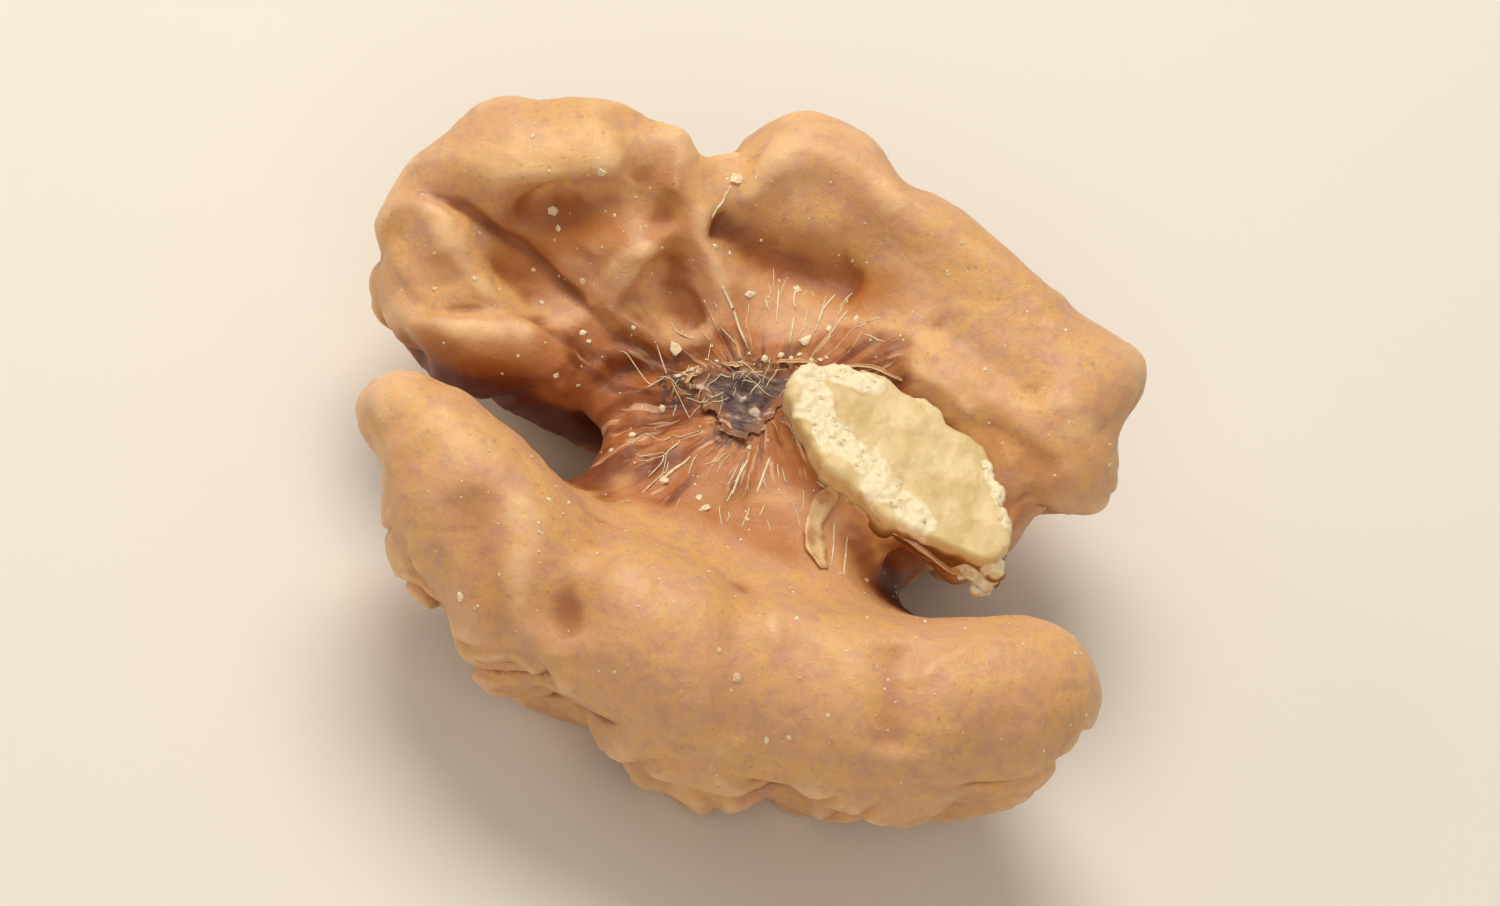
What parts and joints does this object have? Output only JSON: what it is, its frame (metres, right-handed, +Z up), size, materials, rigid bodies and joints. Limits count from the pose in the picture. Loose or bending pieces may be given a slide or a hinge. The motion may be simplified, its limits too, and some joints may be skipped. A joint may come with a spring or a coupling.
{
  "type": "walnut kernel half",
  "caption": "Half of a shelled walnut kernel: two folded lobes joined by a bridge, deep clefts at both ends, a broken pale stub in the middle and a rounded furrowed back",
  "frame": {"origin": "on the table, under the middle of the kernel's bounding box", "axes": "+X along the cleft towards the kernel's tip, +Y towards the far lobe, +Z up out of the inner face"},
  "size_m": [0.0342, 0.029, 0.0136],
  "materials": {
    "kernel_skin": "satin"
  },
  "bodies": {
    "root": {"kernel": "kernel_skin"}
  },
  "joints": []
}
